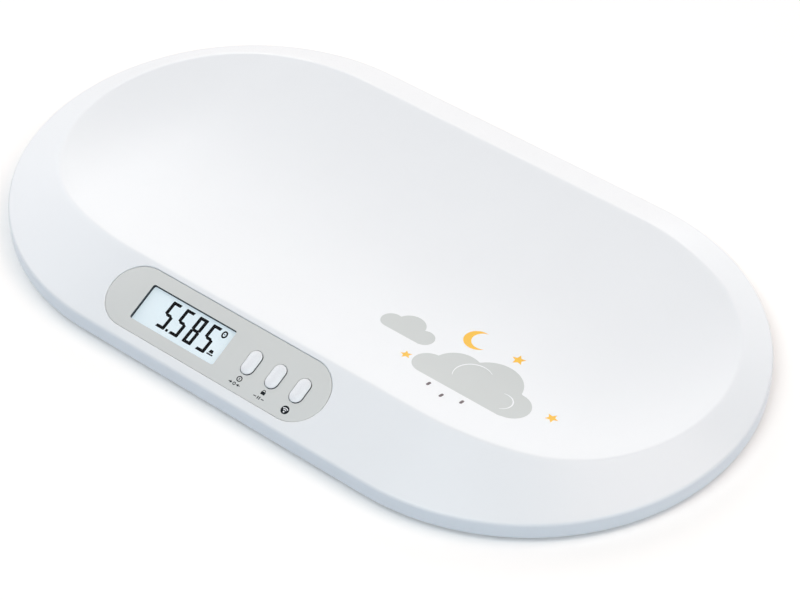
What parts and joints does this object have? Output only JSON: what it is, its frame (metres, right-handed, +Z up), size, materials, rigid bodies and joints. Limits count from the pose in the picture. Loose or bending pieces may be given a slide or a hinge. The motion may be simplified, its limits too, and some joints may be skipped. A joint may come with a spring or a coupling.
{
  "type": "digital baby weighing scale",
  "caption": "Shallow cradle tray on weighing feet, with a liquid crystal display and travelling keys on its sloping near flank, and a battery bay with a hooked cover below.",
  "frame": {"origin": "on the floor under the middle of the tray's outline", "axes": "+X along the tray, +Y across it and away from the keys, +Z up"},
  "size_m": [0.56, 0.324, 0.038],
  "materials": {
    "tray_plastic": "smooth satin white",
    "base_plastic": "fine grain",
    "foot_plastic": "fine grain",
    "panel_plastic": "satin grey",
    "key_plastic": "smooth gloss",
    "inner_plastic": "moulded",
    "lens_clear": "clear",
    "display_glass": "pale reflective display",
    "light_guide": "diffusing",
    "contact_rubber": "matt",
    "board_green": "solder mask",
    "screw_steel": "zinc plated",
    "shield_steel": "nickel plated",
    "cell_steel": "ground",
    "switch_black": "moulded",
    "battery_jacket": "plain film jacket",
    "lead_grey": "matt sheath",
    "lead_red": "matt sheath",
    "pad_rubber": "matt"
  },
  "bodies": {
    "casing": {"top_tray": "tray_plastic", "base_plate": "base_plastic", "casing_screws": "screw_steel", "control_panel": "panel_plastic", "display_lens": "lens_clear", "display_glass": "display_glass", "display_backlight": "light_guide", "display_frame": "inner_plastic", "contact_strips": "contact_rubber", "circuit_board": "board_green", "board_screws": "screw_steel", "tact_switches": "switch_black", "board_chips": "switch_black", "radio_module": "shield_steel", "board_sockets": "inner_plastic", "batteries": "battery_jacket", "battery_springs": "shield_steel", "battery_contacts": "shield_steel", "sensor_leads": "lead_grey", "battery_lead_plus": "lead_red", "battery_lead_minus": "switch_black", "load_cell_1": "cell_steel", "load_cell_2": "cell_steel", "load_cell_3": "cell_steel", "load_cell_4": "cell_steel", "cell_carrier_1": "inner_plastic", "cell_carrier_2": "inner_plastic", "cell_carrier_3": "inner_plastic", "cell_carrier_4": "inner_plastic", "foot_1": "foot_plastic", "foot_2": "foot_plastic", "foot_3": "foot_plastic", "foot_4": "foot_plastic", "foot_pad_1": "pad_rubber", "foot_pad_2": "pad_rubber", "foot_pad_3": "pad_rubber", "foot_pad_4": "pad_rubber"},
    "power": {"power_key": "key_plastic", "power_plunger": "switch_black"},
    "hold": {"hold_key": "key_plastic", "hold_plunger": "switch_black"},
    "wireless": {"wireless_key": "key_plastic", "wireless_plunger": "switch_black"},
    "cover": {"battery_cover": "base_plastic"}
  },
  "joints": [
    {"name": "power_press", "type": "slide", "parent": "casing", "child": "power", "axis": [0, 0.3907, -0.9205], "range_m": [0, 0.0008], "stiffness_N_per_m": 1500, "springref_m": -0.0002},
    {"name": "hold_press", "type": "slide", "parent": "casing", "child": "hold", "axis": [0, 0.3907, -0.9205], "range_m": [0, 0.0008], "stiffness_N_per_m": 1500, "springref_m": -0.0002},
    {"name": "wireless_press", "type": "slide", "parent": "casing", "child": "wireless", "axis": [0, 0.3907, -0.9205], "range_m": [0, 0.0008], "stiffness_N_per_m": 1500, "springref_m": -0.0002},
    {"name": "cover_hooks", "type": "hinge", "parent": "casing", "child": "cover", "pos_m": [0.08185, -0.082, 0.0066], "axis": [0, 1, 0], "range_deg": [0, 35]}
  ]
}
